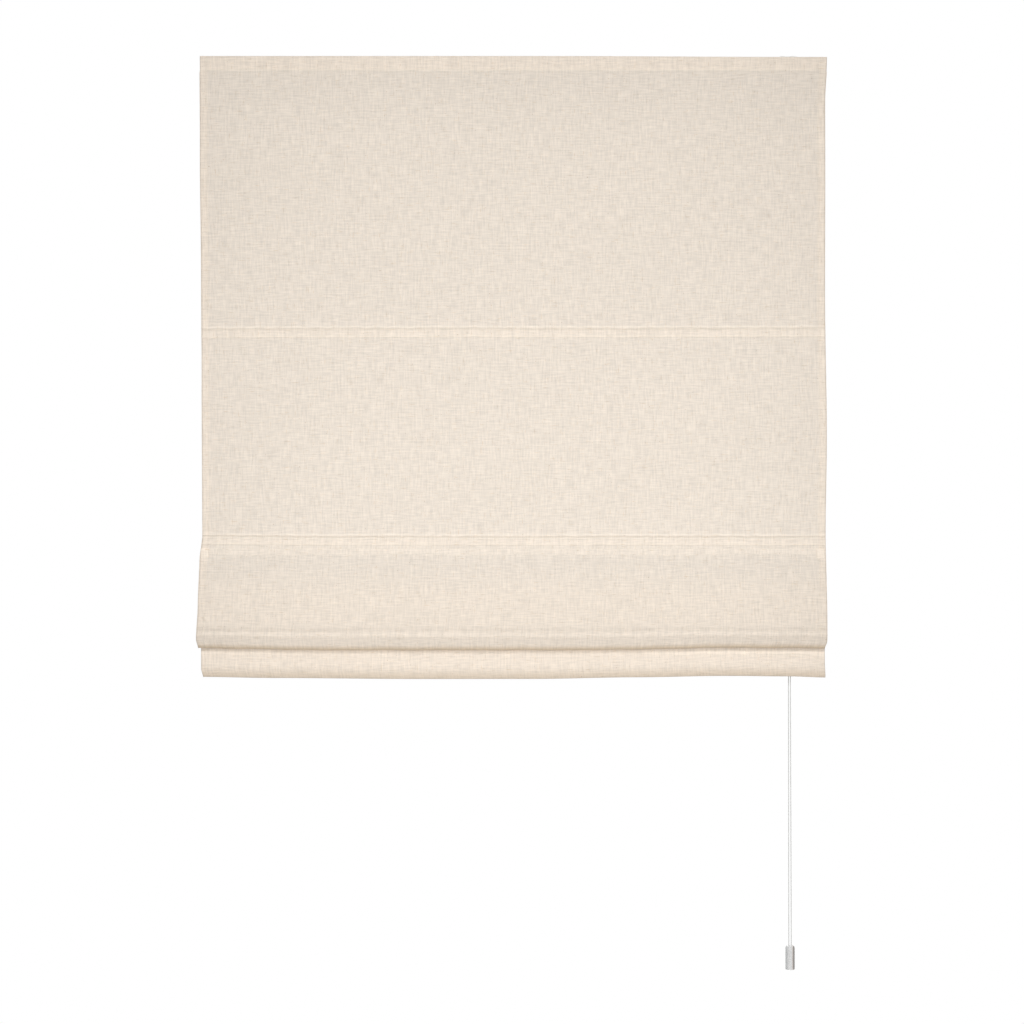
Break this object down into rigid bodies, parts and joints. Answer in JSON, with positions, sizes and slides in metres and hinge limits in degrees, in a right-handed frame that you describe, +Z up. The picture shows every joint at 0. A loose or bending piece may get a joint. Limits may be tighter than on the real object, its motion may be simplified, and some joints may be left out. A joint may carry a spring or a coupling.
{
  "type": "roman blind",
  "caption": "Cord-drawn roman blind of plain woven cloth with rod pockets, a lipped headrail, a cord lock and clip-over wall brackets, its lowest fold drawn up.",
  "frame": {"origin": "centre of the four bracket screw holes, on the wall plane", "axes": "+Z up, +Y from the blind into the wall, +X along the headrail; the room side of the cloth faces -Y"},
  "size_m": [1, 0.0392, 1.4607],
  "materials": {
    "cloth": "woven linen look, matte",
    "pocket_cloth": "plain woven lining, matte",
    "tape": "hook and loop tape, matte",
    "cord": "fine braid, matte",
    "rail": "white powder coat, satin",
    "bracket": "white paint on sheet steel, satin",
    "steel": "zinc plated, satin",
    "cap": "moulded, fine grain",
    "soft_cap": "soft moulded vinyl, matte",
    "rod": "pulled glass-fibre rod, satin",
    "bar": "mill finish",
    "ring": "milky moulded plastic, gloss",
    "pulley": "moulded acetal, satin",
    "toggle": "clear moulded plastic with a faint smoky tint, gloss"
  },
  "bodies": {
    "head": {"headrail": "rail", "end_cap_left": "cap", "end_cap_right": "cap", "wall_bracket_left": "bracket", "wall_bracket_right": "bracket", "bracket_rivet_left": "steel", "bracket_rivet_right": "steel", "hook_tape": "tape", "loop_tape": "tape", "shade_cloth": "cloth", "lock_housing": "cap", "lock_axle": "steel", "cord_guide_left": "cap", "cord_guide_right": "cap", "guide_axle_left": "steel", "guide_axle_right": "steel", "lift_cord_left": "cord", "lift_cord_right": "cord"},
    "catch_left": {"bracket_catch_left": "bracket"},
    "catch_right": {"bracket_catch_right": "bracket"},
    "upper_rod": {"rod_1": "rod", "rod_1_caps": "soft_cap", "rod_pocket_1": "pocket_cloth", "ring_1_left": "ring", "ring_1_right": "ring"},
    "middle_rod": {"rod_2": "rod", "rod_2_caps": "soft_cap", "rod_pocket_2": "pocket_cloth", "ring_2_left": "ring", "ring_2_right": "ring"},
    "hem": {"rod_3": "rod", "rod_3_caps": "soft_cap", "rod_pocket_3": "pocket_cloth", "ring_3_left": "ring", "ring_3_right": "ring", "hem_bar": "bar", "hem_bar_caps": "soft_cap", "cord_stop_left": "ring", "cord_stop_right": "ring", "lift_knot_left": "cord", "lift_knot_right": "cord"},
    "guide_wheel_left": {"guide_pulley_left": "pulley"},
    "guide_wheel_right": {"guide_pulley_right": "pulley"},
    "lock_wheel": {"lock_pulley": "pulley"},
    "lock_grip": {"lock_roller": "steel"},
    "first_pull": {"pull_cord_left": "cord"},
    "second_pull": {"pull_cord_right": "cord"},
    "toggle": {"toggle_shell": "toggle", "toggle_knot": "cord"}
  },
  "joints": [
    {"name": "top_fold_lift", "type": "slide", "parent": "head", "child": "upper_rod", "axis": [0, 0.016, 0.9999], "range_m": [0, 0.385], "deforming": ["shade_cloth", "lift_cord_left", "lift_cord_right", "pull_cord_left", "pull_cord_right"]},
    {"name": "middle_fold_lift", "type": "slide", "parent": "upper_rod", "child": "middle_rod", "axis": [0, 0.016, 0.9999], "range_m": [0, 0.309], "deforming": ["shade_cloth", "lift_cord_left", "lift_cord_right", "pull_cord_left", "pull_cord_right"]},
    {"name": "bottom_fold_drop", "type": "slide", "parent": "middle_rod", "child": "hem", "axis": [0, 0.016, 0.9999], "range_m": [-0.322, 0], "deforming": ["shade_cloth", "lift_cord_left", "lift_cord_right", "pull_cord_left", "pull_cord_right"]},
    {"name": "first_cord_pull", "type": "slide", "parent": "head", "child": "first_pull", "axis": [0, 0, 1], "range_m": [-0.385, 0], "deforming": ["pull_cord_left", "pull_cord_right"]},
    {"name": "second_cord_pull", "type": "slide", "parent": "first_pull", "child": "second_pull", "axis": [0, 0, 1], "range_m": [-0.309, 0], "deforming": ["pull_cord_left", "pull_cord_right"]},
    {"name": "toggle_pull", "type": "slide", "parent": "second_pull", "child": "toggle", "axis": [0, 0, 1], "range_m": [0, 0.322], "deforming": ["pull_cord_left", "pull_cord_right"]},
    {"name": "guide_spin_left", "type": "hinge", "parent": "head", "child": "guide_wheel_left", "pos_m": [-0.401, -0.02135, -0.0016], "axis": [0, 1, 0], "continuous": true},
    {"name": "guide_spin_right", "type": "hinge", "parent": "head", "child": "guide_wheel_right", "pos_m": [0.409, -0.02135, -0.0016], "axis": [0, 1, 0], "continuous": true},
    {"name": "lock_spin", "type": "hinge", "parent": "head", "child": "lock_wheel", "pos_m": [0.4356, -0.0186, -0.0016], "axis": [0, 1, 0], "continuous": true},
    {"name": "lock_release", "type": "slide", "parent": "head", "child": "lock_grip", "axis": [0.824, 0, -0.5665], "range_m": [0, 0.00388]},
    {"name": "catch_turn_left", "type": "hinge", "parent": "head", "child": "catch_left", "pos_m": [-0.438, -0.0043, -0.01], "axis": [0, 0, 1], "range_deg": [0, 90]},
    {"name": "catch_turn_right", "type": "hinge", "parent": "head", "child": "catch_right", "pos_m": [0.438, -0.0043, -0.01], "axis": [0, 0, 1], "range_deg": [0, 90]}
  ],
  "couplings": [
    {"joint": "first_cord_pull", "follows": "top_fold_lift", "ratio": -1},
    {"joint": "second_cord_pull", "follows": "middle_fold_lift", "ratio": -1},
    {"joint": "toggle_pull", "follows": "bottom_fold_drop", "ratio": -1}
  ]
}
